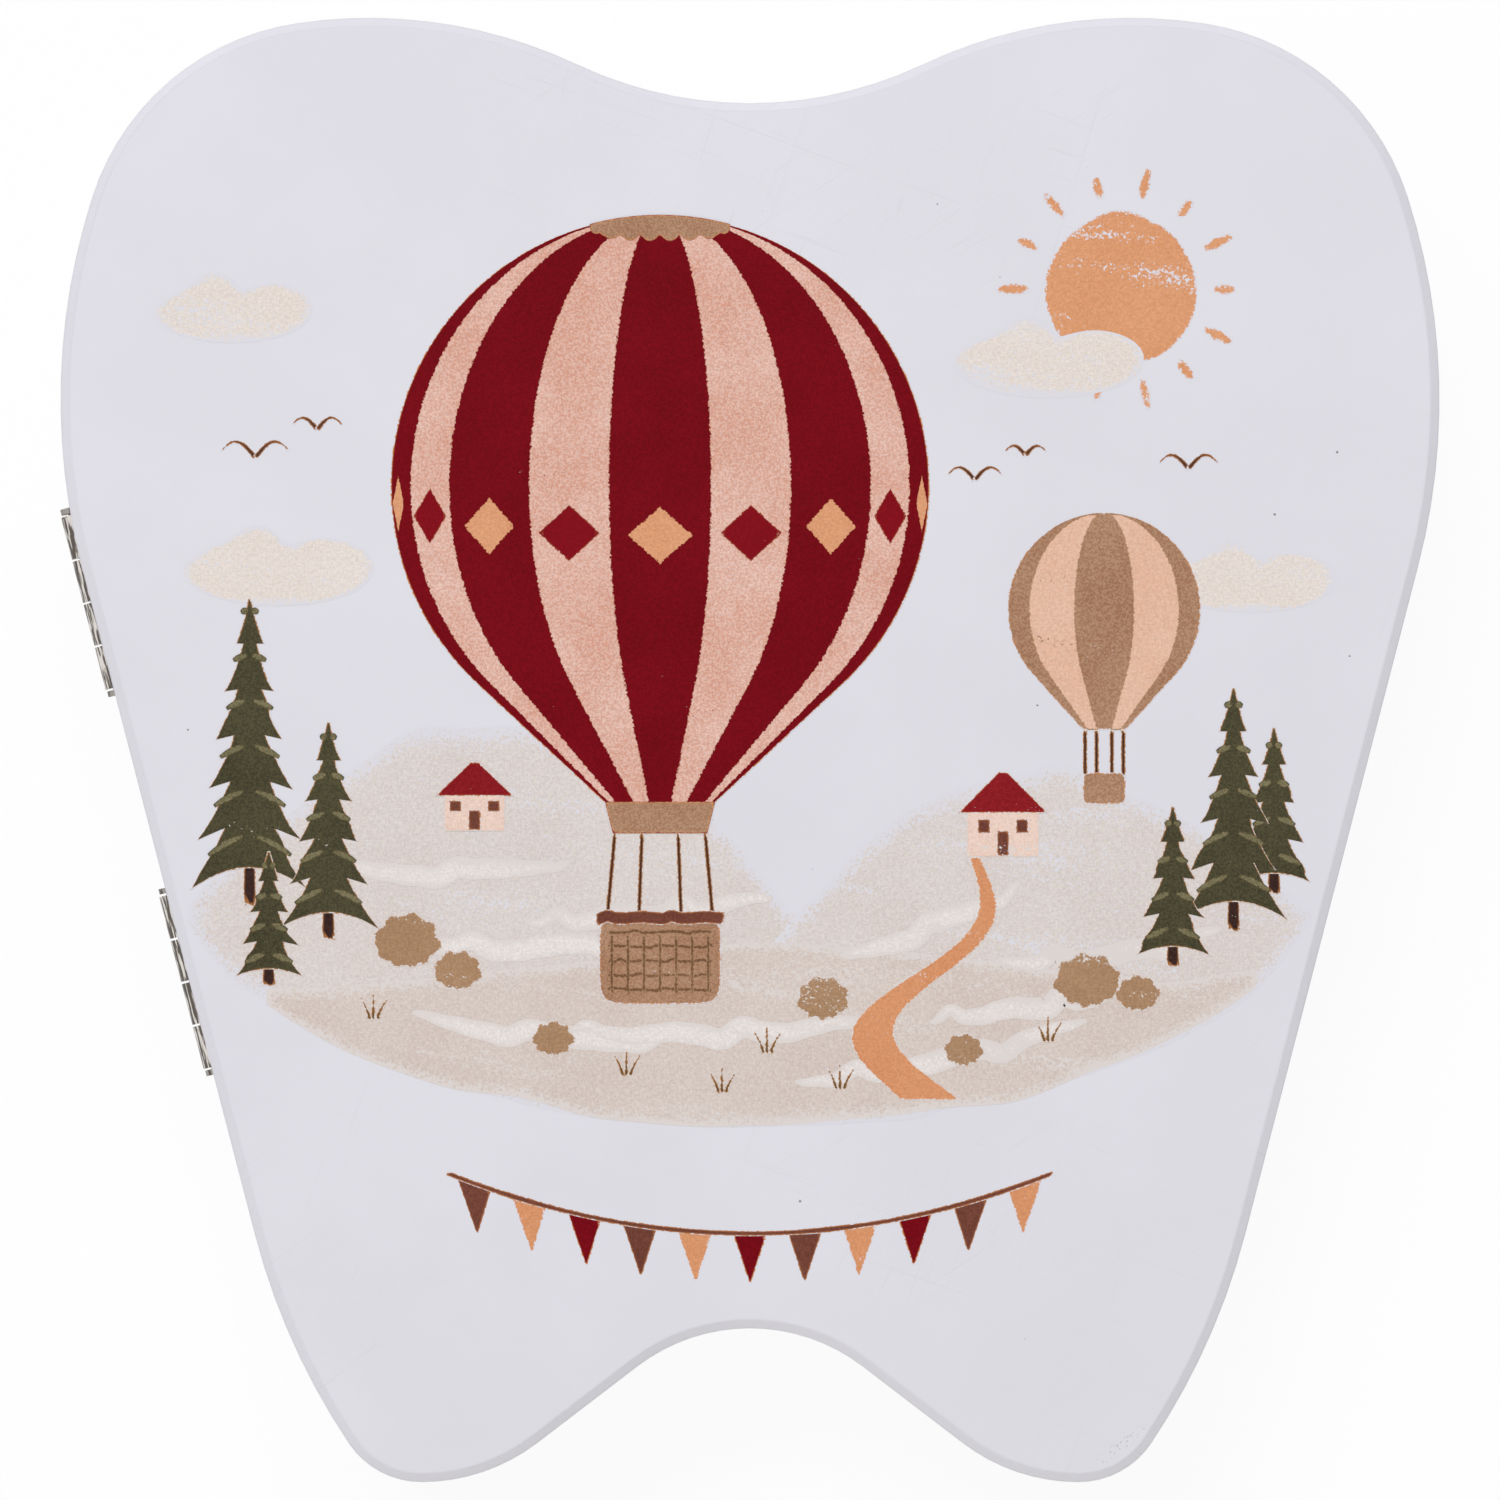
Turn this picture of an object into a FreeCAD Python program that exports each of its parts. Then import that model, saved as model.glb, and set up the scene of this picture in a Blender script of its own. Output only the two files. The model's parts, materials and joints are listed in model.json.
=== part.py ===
# Keepsake box for milk teeth, shaped like a molar: three painted fibreboard layers, of which the
# lid turns on two small butt hinges let into the left edge and is held shut by two pairs of magnets.
# The box lies on its back: +Z goes up through the lid, +Y points from the roots to the crown, and
# the origin is on the underside, on the axis of symmetry, halfway up the tooth.
import FreeCAD, Part
import math
import os
import re
import types

import Sketcher
from FreeCAD import Vector

# Name, value in millimetres or degrees, and what it measures
DIMENSIONS = (
    ("tooth_width", 122.8, "outline across the two bellies"),
    ("tooth_height", 130.4, "outline from the crown to the root tips"),
    ("dip_depth", 7.6, "dip in the middle of the crown"),
    ("dip_radius", 36.0, "hollow round of the dip"),
    ("lobe_radius", 43.5, "top of each crown lobe"),
    ("shoulder_radius", 22.6, "outer corner of each crown lobe"),
    ("belly_radius", 59.0, "side of the crown at its widest"),
    ("belly_drop", 34.0, "widest level below the crown"),
    ("flank_radius", 61.0, "outer side of each root"),
    ("flank_swell", 3.0, "straight side outside the round of the root tip"),
    ("tip_radius", 7.8, "outer half of each root tip"),
    ("inner_radius", 17.0, "inner half of each root tip"),
    ("root_spread", 58.5, "between the two root tips"),
    ("crotch_height", 13.7, "notch between the roots"),
    ("crotch_radius", 16.5, "hollow round of the notch"),
    ("lid_thickness", 9.0, "lid board"),
    ("well_board_thickness", 12.0, "board with the tooth wells"),
    ("back_thickness", 6.0, "board under the wells"),
    ("edge_chamfer", 0.8, "eased upper edge of the lid"),
    ("back_chamfer", 1.0, "lower edge of the back board"),
    ("seam_chamfer", 0.4, "eased edges where the lid meets the box"),
    ("well_count", 20, "wells, one for each milk tooth"),
    ("well_web", 2.0, "board left between neighbouring wells"),
    ("ring_margin", 11.0, "ring of wells to the nearest side"),
    ("hinge_length", 16.0, "barrel of a hinge"),
    ("hinge_drop", 3.0, "upper hinge below the start of the straight side"),
    ("hinge_spacing", 35.3, "between the middles of the two hinges"),
    ("knuckle_count", 4, "knuckles of a hinge, shared by its two leaves"),
    ("knuckle_gap", 0.2, "end play between knuckles"),
    ("leaf_thickness", 0.65, "sheet of a hinge leaf"),
    ("leaf_depth", 6.5, "hinge leaf from the pin to its inner edge"),
    ("curl_gap", 0.25, "rolled lip above its own leaf"),
    ("screw_hole", 1.3, "flared screw hole at the back of a leaf"),
    ("screw_flare", 45, "slope of the flare, in degrees"),
    ("pilot_diameter", 1.1, "hole drilled for a screw"),
    ("pilot_depth", 4.5, "hole drilled for a screw, below the leaf"),
    ("pin_diameter", 1.0, "hinge pin"),
    ("pin_clearance", 0.05, "running clearance round the pin"),
    ("pin_head_diameter", 2.2, "peened head on each end of the pin"),
    ("pin_head_length", 0.5, "peened head along the pin"),
    ("pin_head_gap", 0.2, "end of the barrel to the peened head"),
    ("axis_stand_off", 0.2, "pin axis outside the side of the box"),
    ("mortise_clearance", 0.15, "room round a let-in leaf"),
    ("barrel_relief", 0.25, "room round a let-in barrel"),
    ("magnet_diameter", 5.0, "closing magnet"),
    ("magnet_thickness", 2.0, "closing magnet"),
    ("magnet_recess", 0.1, "magnet face below the board's face"),
    ("magnet_clearance", 0.05, "room round a magnet"),
    ("magnet_margin", 12.0, "upper magnet from the side at the widest level"),
)

doc = FreeCAD.newDocument("tooth_box")
sheet = doc.addObject("Spreadsheet::Sheet", "Dimensions")
for row, (alias, value, meaning) in enumerate(DIMENSIONS, start=1):
    sheet.set(f"A{row}", meaning)
    sheet.set(f"B{row}", str(value))
    sheet.setAlias(f"B{row}", alias)
doc.recompute()
ALIASES = {alias for alias, value, meaning in DIMENSIONS}
size = types.SimpleNamespace(**{alias: float(sheet.get(alias)) for alias in ALIASES})

# Formulas on the dimensions that several pieces share
HALF_HEIGHT = "tooth_height / 2"
BORE_RADIUS = "(pin_diameter / 2 + pin_clearance)"
BARREL_RADIUS = f"({BORE_RADIUS} + leaf_thickness)"
SEAM_HEIGHT = "(back_thickness + well_board_thickness)"
BELLY_X = "(tooth_width / 2 - belly_radius)"
BELLY_Y = "(tooth_height / 2 - belly_drop)"
TIP_ACROSS = f"(root_spread / 2 - {BELLY_X})"
TIP_BELOW = f"({BELLY_Y} + tooth_height / 2 - tip_radius)"
SIDE_PULL = "(belly_radius - tip_radius - flank_swell)"
LEAN = f"(atan2({TIP_BELOW}; {TIP_ACROSS}) - acos({SIDE_PULL} / hypot({TIP_BELOW}; {TIP_ACROSS})))"
RING_MIDDLE = "((crotch_height - dip_depth) / 2)"
RING_TO_SIDE = f"(belly_radius + {BELLY_X} * cos({LEAN}) - ({BELLY_Y} - {RING_MIDDLE}) * sin({LEAN}))"
RING_TO_ENDS = "((tooth_height - dip_depth - crotch_height) / 2)"
RING_OUTER = f"(min({RING_TO_SIDE}; {RING_TO_ENDS}) - ring_margin)"
WELL_STEP = "sin(180 / well_count)"
RING_RADIUS = f"(({RING_OUTER} + well_web / 2) / (1 + {WELL_STEP}))"
WELL_RADIUS = f"({RING_RADIUS} * {WELL_STEP} - well_web / 2)"
SCREW_ROW = f"(({BARREL_RADIUS} + barrel_relief + leaf_depth) / 2)"
PIN_SHANK_END = "(hinge_length / 2 + pin_head_gap)"
PIN_END = f"({PIN_SHANK_END} + pin_head_length)"
HINGES = {"upper": "hinge_drop", "lower": "(hinge_drop + hinge_spacing)"}
MAGNETS = {
    "upper": ("(tooth_width / 2 - magnet_margin)", BELLY_Y),
    "lower": ("(root_spread / 2)", "(crotch_height - tooth_height / 2)"),
}


def formula(text):
    """Turn a formula on dimension names into an expression on the cells of the sheet."""
    def cell(word):
        return f"Dimensions.{word[0]}" if word[0] in ALIASES else word[0]

    return re.sub(r"\b[a-z_]+\b", cell, text)


def bind(thing, **properties):
    """Let properties of an object follow formulas."""
    for name, text in properties.items():
        thing.setExpression(name, formula(text))


def hinge_frame(drop, height, pitch="0"):
    """Placement on a hinge's axis: X runs along the pin to the roots, Y goes into the box."""
    reach = "(belly_radius + axis_stand_off)"
    x = f"{drop} * sin({LEAN}) - {reach} * cos({LEAN}) - {BELLY_X}"
    y = f"{BELLY_Y} - {reach} * sin({LEAN}) - {drop} * cos({LEAN})"
    return f"placement(vector({x}; {y}; {height}); rotation({LEAN} - 90 deg; {pitch}; 0))"


def spot(x, y, z):
    """Placement that only shifts."""
    return f"placement(vector({x}; {y}; {z}); rotation(0; 0; 0))"


def new_body(label, place=None):
    """An empty body whose label names the piece."""
    body = doc.addObject("PartDesign::Body", label)
    body.Label = label
    if place:
        bind(body, Placement=place)
    return body


def plane(body, role):
    """One of the body's own origin planes."""
    return next(item for item in body.Origin.OriginFeatures if item.Role == role)


def new_sketch(body, suffix, role, offset=None):
    """A sketch on one of the body's origin planes."""
    sketch = body.newObject("Sketcher::SketchObject", f"{body.Name}_{suffix}")
    sketch.AttachmentSupport = (plane(body, role), [""])
    sketch.MapMode = "FlatFace"
    if offset:
        bind(sketch, AttachmentOffset=offset)
    return sketch


def measure(sketch, name, text, kind, *where):
    """Add a named measurement, as drawn at first and then as the formula says."""
    if kind == "Radius":
        drawn = sketch.Geometry[where[0]].Radius
    elif len(where) == 3:
        line = sketch.Geometry[where[2]]
        along = line.EndPoint - line.StartPoint
        drawn = sketch.getPoint(*where[:2]).distanceToLine(line.StartPoint, along)
    else:
        step = sketch.getPoint(*where[2:]) - sketch.getPoint(*where[:2])
        drawn = step.x if kind == "DistanceX" else step.y
    index = sketch.addConstraint(Sketcher.Constraint(kind, *where, drawn))
    sketch.renameConstraint(index, name)
    sketch.setExpression(f"Constraints.{name}", formula(text))


def place_point(sketch, name, x, y, *point):
    """Hold a point of the sketch at two formulas; "0" puts it on an axis."""
    for letter, text, kind, axis in (("x", x, "DistanceX", -2), ("y", y, "DistanceY", -1)):
        if text == "0":
            sketch.addConstraint(Sketcher.Constraint("PointOnObject", *point, axis))
        else:
            measure(sketch, f"{name}_{letter}", text, kind, -1, 1, *point)


def polygon(sketch, places):
    """Draw a closed straight-sided outline with its corners at pairs of formulas."""
    count = len(places)
    turns = [2 * math.pi * k / count for k in range(count + 1)]
    ring = [Vector(math.cos(turn), math.sin(turn), 0) for turn in turns]
    for k in range(count):
        sketch.addGeometry(Part.LineSegment(ring[k], ring[k + 1]), False)
    for k, (x, y) in enumerate(places):
        sketch.addConstraint(Sketcher.Constraint("Coincident", k - 1 if k else count - 1, 2, k, 1))
        place_point(sketch, f"corner_{k}", x, y, k, 1)


def disc(sketch, name, x, y, radius):
    """Draw a circle with its middle at a pair of formulas."""
    round_line = sketch.addGeometry(Part.Circle(Vector(), Vector(0, 0, 1), size.pin_diameter), False)
    measure(sketch, f"{name}_radius", radius, "Radius", round_line)
    place_point(sketch, name, x, y, round_line, 3)


def screw_discs(sketch, radius):
    """Draw the two screws of a leaf as circles, in the middle of its flat and of its halves."""
    disc(sketch, "crown_screw", "-hinge_length / 4", SCREW_ROW, radius)
    disc(sketch, "root_screw", "hinge_length / 4", SCREW_ROW, radius)


def feature(body, kind, suffix, sketch=None, **properties):
    """Add a PartDesign feature and make it the tip of the body."""
    item = body.newObject(f"PartDesign::{kind}", f"{body.Name}_{suffix}")
    if sketch:
        item.Profile = sketch
    bind(item, **properties)
    body.Tip = item
    return item


def ease(body, suffix, wanted, amount):
    """Chamfer those edges of the body that a test picks."""
    doc.recompute()
    base = body.Tip
    names = [f"Edge{k}" for k, edge in enumerate(base.Shape.Edges, start=1) if wanted(edge)]
    item = feature(body, "Chamfer", suffix, Size=amount)
    item.Base = (base, names)


def flat_at(height):
    """Test for edges that lie at one height."""
    near = size.seam_chamfer / 100
    return lambda edge: max(abs(edge.BoundBox.ZMin - height), abs(edge.BoundBox.ZMax - height)) < near


def crossing(first, first_reach, second, second_reach):
    """The outer one of the two points at given distances from two centres."""
    step = second - first
    along = (first_reach**2 - second_reach**2 + step.Length**2) / (2 * step.Length)
    across = math.sqrt(first_reach**2 - along**2)
    step.normalize()
    side = Vector(-step.y, step.x, 0)
    choices = [first + step * along + side * sign * across for sign in (1, -1)]
    return max(choices, key=lambda point: point.x + point.y)


def heading(step):
    """Angle of a step in the plane of the outline."""
    return math.atan2(step.y, step.x)


def outline_sketch(body):
    """Right half of the tooth, clockwise from the dip in the crown to the notch between the roots."""
    top = size.tooth_height / 2
    dip = Vector(0, top - size.dip_depth + size.dip_radius, 0)
    lobe_fall = size.dip_depth - size.dip_radius - size.lobe_radius
    lobe_x = math.sqrt((size.dip_radius + size.lobe_radius)**2 - lobe_fall**2)
    lobe = Vector(lobe_x, top - size.lobe_radius, 0)
    belly = Vector(size.tooth_width / 2 - size.belly_radius, top - size.belly_drop, 0)
    shoulder = crossing(lobe, size.lobe_radius - size.shoulder_radius,
                        belly, size.belly_radius - size.shoulder_radius)
    tip = Vector(size.root_spread / 2, size.tip_radius - top, 0)
    inner = Vector(size.root_spread / 2, size.inner_radius - top, 0)
    crotch = Vector(0, size.crotch_height - size.crotch_radius - top, 0)
    # The straight side touches the belly and passes the root tip at the swell's distance
    pull = size.belly_radius - size.tip_radius - size.flank_swell
    side_turn = heading(tip - belly) + math.acos(pull / (tip - belly).Length)
    side_out = Vector(math.cos(side_turn), math.sin(side_turn), 0)
    side_down = Vector(side_out.y, -side_out.x, 0)
    side_start = belly + side_out * size.belly_radius
    bend = size.flank_radius - size.tip_radius
    run = math.sqrt(bend**2 - (bend - size.flank_swell)**2)
    side_end = side_start + side_down * ((tip - side_start).dot(side_down) - run)
    flank = side_end - side_out * size.flank_radius
    # The fork is the straight stretch between the inner root and the notch
    fork_turn = heading(crotch - inner)
    fork_turn += math.acos((size.inner_radius + size.crotch_radius) / (crotch - inner).Length)
    fork_out = Vector(math.cos(fork_turn), math.sin(fork_turn), 0)
    chain = (
        ("dip", dip, -math.pi / 2, heading(lobe - dip)),
        ("lobe", lobe, heading(shoulder - lobe), heading(dip - lobe)),
        ("shoulder", shoulder, heading(shoulder - belly), heading(shoulder - lobe)),
        ("belly", belly, side_turn, heading(shoulder - belly)),
        ("side", side_start, side_end, None),
        ("flank", flank, heading(tip - flank), side_turn),
        ("tip", tip, -math.pi / 2, heading(tip - flank)),
        ("inner", inner, fork_turn, -math.pi / 2),
        ("fork", inner + fork_out * size.inner_radius, crotch - fork_out * size.crotch_radius, None),
        ("crotch", crotch, fork_turn + math.pi, math.pi / 2),
        ("axis", crotch + Vector(0, size.crotch_radius, 0), dip - Vector(0, size.dip_radius, 0), None),
    )
    sketch = new_sketch(body, "outline", "XY_Plane")
    number = {}
    for name, first, begin, finish in chain:
        if finish is None:
            curve = Part.LineSegment(first, begin)
        else:
            circle = Part.Circle(first, Vector(0, 0, 1), getattr(size, f"{name}_radius"))
            curve = Part.ArcOfCircle(circle, begin, finish)
        number[name] = sketch.addGeometry(curve, False)
    # Arcs run anticlockwise, so the bulging ones are passed from their end to their start
    bulging = {"lobe", "shoulder", "belly", "flank", "tip", "inner"}
    enter = {name: 2 if name in bulging else 1 for name in number}
    leave = {name: 1 if name in bulging else 2 for name in number}
    names = list(number)
    for near, far in zip(names[:-2], names[1:-1]):
        touch = Sketcher.Constraint("Tangent", number[near], leave[near], number[far], enter[far])
        sketch.addConstraint(touch)
    for near, far in (("crotch", "axis"), ("axis", "dip")):
        touch = Sketcher.Constraint("Coincident", number[near], leave[near], number[far], enter[far])
        sketch.addConstraint(touch)
    for name, first, begin, finish in chain:
        if finish is not None:
            measure(sketch, f"{name}_round", f"{name}_radius", "Radius", number[name])
    middle = {name: (number[name], 3) for name in names}
    place_point(sketch, "dip", "0", f"{HALF_HEIGHT} - dip_depth + dip_radius", *middle["dip"])
    place_point(sketch, "crotch", "0", f"crotch_height - crotch_radius - {HALF_HEIGHT}",
                *middle["crotch"])
    sketch.addConstraint(Sketcher.Constraint("PointOnObject", number["dip"], 1, -2))
    sketch.addConstraint(Sketcher.Constraint("PointOnObject", number["crotch"], 2, -2))
    measure(sketch, "lobe_y", f"{HALF_HEIGHT} - lobe_radius", "DistanceY", -1, 1, *middle["lobe"])
    place_point(sketch, "belly", "tooth_width / 2 - belly_radius", f"{HALF_HEIGHT} - belly_drop",
                *middle["belly"])
    place_point(sketch, "tip", "root_spread / 2", f"tip_radius - {HALF_HEIGHT}", *middle["tip"])
    sketch.addConstraint(Sketcher.Constraint("Vertical", *middle["tip"], number["tip"], leave["tip"]))
    measure(sketch, "swell", "tip_radius + flank_swell", "Distance", *middle["tip"], number["side"])
    return sketch


def board(label, thickness, height):
    """A tooth-shaped board of one thickness."""
    body = new_body(label, spot("0", "0", height))
    half = feature(body, "Pad", "half", outline_sketch(body), Length=thickness)
    whole = feature(body, "Mirrored", "whole")
    whole.Originals = [half]
    whole.MirrorPlane = (plane(body, "YZ_Plane"), [""])
    return body


def cut(body, suffix, sketch, depth, upward):
    """Pocket a sketch into a board, up from its underside or down from its top."""
    pocket = feature(body, "Pocket", suffix, sketch, Length=depth)
    pocket.Reversed = upward


def let_in_fittings(body, face, upward):
    """Mortises for the hinges and pockets for the magnets in one face of a board."""
    for name, drop in HINGES.items():
        half_leaf = "(hinge_length / 2 + mortise_clearance)"
        half_pin = f"({PIN_END} + mortise_clearance)"
        inner_edge = "(leaf_depth + mortise_clearance)"
        room = f"({BARREL_RADIUS} + barrel_relief)"
        frame = hinge_frame(drop, face)
        sketch = new_sketch(body, f"{name}_mortise", "XY_Plane", frame)
        polygon(sketch, ((f"-{half_leaf}", f"-{room}"), (half_leaf, f"-{room}"),
                         (half_leaf, inner_edge), (f"-{half_leaf}", inner_edge)))
        cut(body, f"{name}_leaf_bed", sketch, BARREL_RADIUS, upward)
        sketch = new_sketch(body, f"{name}_relief", "XY_Plane", frame)
        polygon(sketch, ((f"-{half_pin}", f"-{room}"), (half_pin, f"-{room}"),
                         (half_pin, room), (f"-{half_pin}", room)))
        cut(body, f"{name}_barrel_bed", sketch, room, upward)
        sketch = new_sketch(body, f"{name}_pilots", "XY_Plane", frame)
        screw_discs(sketch, "pilot_diameter / 2")
        cut(body, f"{name}_pilot_holes", sketch, f"{BARREL_RADIUS} + pilot_depth", upward)
    for name, (x, y) in MAGNETS.items():
        sketch = new_sketch(body, f"{name}_magnet", "XY_Plane", spot(x, y, face))
        disc(sketch, "pocket", "0", "0", "magnet_diameter / 2 + magnet_clearance")
        cut(body, f"{name}_magnet_bed", sketch, "magnet_thickness + magnet_recess", upward)


def make_lid_board():
    """Lid with its eased edges and the beds of the fittings."""
    body = board("lid_board", "lid_thickness", SEAM_HEIGHT)
    ease(body, "edge", flat_at(size.lid_thickness), "edge_chamfer")
    ease(body, "seam", flat_at(0), "seam_chamfer")
    let_in_fittings(body, "0", True)
    return body


def make_well_board():
    """Middle board with its ring of tooth wells and the beds of the fittings."""
    body = board("well_board", "well_board_thickness", "back_thickness")
    ease(body, "seam", flat_at(size.well_board_thickness), "seam_chamfer")
    sketch = new_sketch(body, "well", "XY_Plane", spot("0", RING_MIDDLE, "well_board_thickness"))
    disc(sketch, "first", f"{RING_RADIUS} * cos(180 / well_count)", f"{RING_RADIUS} * {WELL_STEP}",
         WELL_RADIUS)
    well = feature(body, "Pocket", "one_well", sketch, Length="well_board_thickness")
    ring = feature(body, "PolarPattern", "well_ring", Occurrences="well_count")
    ring.Originals = [well]
    ring.Axis = (sketch, ["N_Axis"])
    let_in_fittings(body, "well_board_thickness", False)
    return body


def make_back_board():
    """Bottom board that closes the wells, with its chamfered lower edge."""
    body = board("back_board", "back_thickness", "0")
    ease(body, "edge", flat_at(0), "back_chamfer")
    return body


def make_leaf(label, place):
    """Hinge leaf: a drilled plate under the pin, with its front edge notched and rolled into knuckles."""
    body = new_body(label, place)
    bore = size.pin_diameter / 2 + size.pin_clearance
    barrel = bore + size.leaf_thickness
    lip = math.asin((size.curl_gap - bore) / barrel)
    edge = Vector(size.leaf_depth, 0, 0)
    up = Vector(0, 1, 0)
    lip_way = Vector(math.cos(lip), math.sin(lip), 0)
    sketch = new_sketch(body, "profile", "YZ_Plane")
    sketch.addGeometry(Part.LineSegment(edge - up * barrel, up * -barrel), False)
    sketch.addGeometry(Part.LineSegment(lip_way * barrel, lip_way * bore), False)
    sketch.addGeometry(Part.LineSegment(up * -bore, edge - up * bore), False)
    sketch.addGeometry(Part.LineSegment(edge - up * bore, edge - up * barrel), False)
    under, lip_line, over, back = range(4)
    rounds = [Part.Circle(Vector(), Vector(0, 0, 1), radius) for radius in (barrel, bore)]
    curls = [Part.ArcOfCircle(circle, lip, 3 * math.pi / 2) for circle in rounds]
    outer, inner = (sketch.addGeometry(curl, False) for curl in curls)
    for kind, *where in (
        ("Coincident", outer, 3, -1, 1), ("Coincident", inner, 3, -1, 1),
        ("Tangent", under, 2, outer, 2), ("Tangent", over, 1, inner, 2),
        ("Coincident", outer, 1, lip_line, 1), ("Coincident", inner, 1, lip_line, 2),
        ("Coincident", over, 2, back, 1), ("Coincident", back, 2, under, 1),
        ("Horizontal", under), ("Horizontal", over), ("Vertical", back),
        ("PointOnObject", -1, 1, lip_line),
    ):
        sketch.addConstraint(Sketcher.Constraint(kind, *where))
    measure(sketch, "barrel", BARREL_RADIUS, "Radius", outer)
    measure(sketch, "bore", BORE_RADIUS, "Radius", inner)
    measure(sketch, "depth", "leaf_depth", "DistanceX", -1, 1, back, 1)
    measure(sketch, "lip", "curl_gap", "DistanceY", over, 1, outer, 1)
    strip = feature(body, "Pad", "strip", sketch, Length="hinge_length")
    strip.Midplane = True
    # The notches leave every second knuckle to the other leaf
    half_notch = "(hinge_length / knuckle_count + knuckle_gap) / 2"
    front = f"({BARREL_RADIUS} + barrel_relief)"
    notch_middle = spot("-hinge_length / knuckle_count / 2", "0", "0")
    sketch = new_sketch(body, "notch_outline", "XY_Plane", notch_middle)
    polygon(sketch, ((f"-{half_notch}", f"-{front}"), (half_notch, f"-{front}"),
                     (half_notch, front), (f"-{half_notch}", front)))
    notch = feature(body, "Pocket", "notch", sketch, Length=f"2 * {front}")
    notch.Midplane = True
    notches = feature(body, "LinearPattern", "notches", Occurrences="knuckle_count / 2",
                      Length="hinge_length - 2 * hinge_length / knuckle_count")
    notches.Originals = [notch]
    notches.Direction = (sketch, ["H_Axis"])
    sketch = new_sketch(body, "flare_rims", "XY_Plane", spot("0", "0", f"-{BORE_RADIUS}"))
    screw_discs(sketch, "screw_hole / 2 + leaf_thickness * tan(screw_flare)")
    flares = feature(body, "Pocket", "flares", sketch, Length="leaf_thickness + screw_hole / 4")
    bind(flares, TaperAngle="-screw_flare * 1 deg")
    return body


def make_pin(label, place):
    """Hinge pin with a peened head on each end, carried by the leaf of the box."""
    body = new_body(label, place)
    radius = "pin_diameter / 2"
    head = "pin_head_diameter / 2"
    sketch = new_sketch(body, "profile", "XY_Plane")
    polygon(sketch, ((f"-{PIN_END}", "0"), (PIN_END, "0"), (PIN_END, head), (PIN_SHANK_END, head),
                     (PIN_SHANK_END, radius), (f"-{PIN_SHANK_END}", radius),
                     (f"-{PIN_SHANK_END}", head), (f"-{PIN_END}", head)))
    rod = feature(body, "Revolution", "rod", sketch)
    rod.ReferenceAxis = (sketch, ["H_Axis"])
    return body


def make_magnet(label, place):
    """Disc magnet."""
    body = new_body(label, place)
    sketch = new_sketch(body, "outline", "XY_Plane")
    disc(sketch, "face", "0", "0", "magnet_diameter / 2")
    feature(body, "Pad", "blank", sketch, Length="magnet_thickness")
    return body


pieces = [make_lid_board(), make_well_board(), make_back_board()]
for name, drop in HINGES.items():
    upright = hinge_frame(drop, SEAM_HEIGHT)
    turned_over = hinge_frame(drop, SEAM_HEIGHT, "180")
    pieces.append(make_leaf(f"{name}_hinge_base_leaf", upright))
    pieces.append(make_leaf(f"{name}_hinge_lid_leaf", turned_over))
    pieces.append(make_pin(f"{name}_hinge_pin", upright))
for name, (x, y) in MAGNETS.items():
    below_seam = f"{SEAM_HEIGHT} - magnet_recess - magnet_thickness"
    pieces.append(make_magnet(f"{name}_base_magnet", spot(x, y, below_seam)))
    pieces.append(make_magnet(f"{name}_lid_magnet", spot(x, y, f"{SEAM_HEIGHT} + magnet_recess")))
doc.recompute()

for item in doc.Objects:
    if "Invalid" in item.State or "Error" in item.State:
        raise RuntimeError(f"{item.Name} did not build: {item.State}")
os.makedirs("parts", exist_ok=True)
for piece in pieces:
    if piece.Shape.isNull() or not piece.Shape.isValid():
        raise RuntimeError(f"{piece.Label} has no sound shape")
    piece.Shape.exportStep(f"parts/{piece.Label}.step")
    print(piece.Label, len(piece.Shape.Solids), round(piece.Shape.Volume, 2))
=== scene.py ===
# %% [markdown]
# A keepsake box for milk teeth, lying on its back and seen from straight above. The boards, hinges
# and magnets are solids that come in with the frame: here they get their finishes, the hinges get
# their screws, and the lid gets its printed picture. Everything is in metres, and the lid's face
# looks up along Z.

# %% Load the frame
import json
import bpy
import numpy as np
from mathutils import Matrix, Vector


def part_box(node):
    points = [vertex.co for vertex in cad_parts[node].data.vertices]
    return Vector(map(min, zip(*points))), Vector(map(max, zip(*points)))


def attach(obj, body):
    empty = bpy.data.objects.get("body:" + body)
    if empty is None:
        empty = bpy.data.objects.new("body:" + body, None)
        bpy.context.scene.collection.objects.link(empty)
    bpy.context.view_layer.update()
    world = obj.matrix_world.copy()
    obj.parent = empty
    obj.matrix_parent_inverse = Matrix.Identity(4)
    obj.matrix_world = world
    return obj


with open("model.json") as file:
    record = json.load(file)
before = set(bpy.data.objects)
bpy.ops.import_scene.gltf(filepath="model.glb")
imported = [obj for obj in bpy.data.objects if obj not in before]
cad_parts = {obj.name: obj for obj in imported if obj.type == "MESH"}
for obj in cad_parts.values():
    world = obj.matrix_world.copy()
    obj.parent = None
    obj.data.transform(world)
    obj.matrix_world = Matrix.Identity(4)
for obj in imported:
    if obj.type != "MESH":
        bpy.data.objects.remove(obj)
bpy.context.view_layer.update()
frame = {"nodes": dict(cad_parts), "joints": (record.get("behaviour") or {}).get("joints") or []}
MM = 0.001
lid_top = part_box("lid_board")[1].z
print("solids:", len(frame["nodes"]), "lid face at", round(lid_top / MM, 2), "mm")

# %% [markdown]
# Every finish is a net of shader nodes. A short helper that adds one node and fills its sockets
# keeps such a net readable: a number is set on the socket, another node's output is linked to it.
# Colours are written as a paint chart gives them and turned into the linear values that light adds
# up in.

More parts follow.
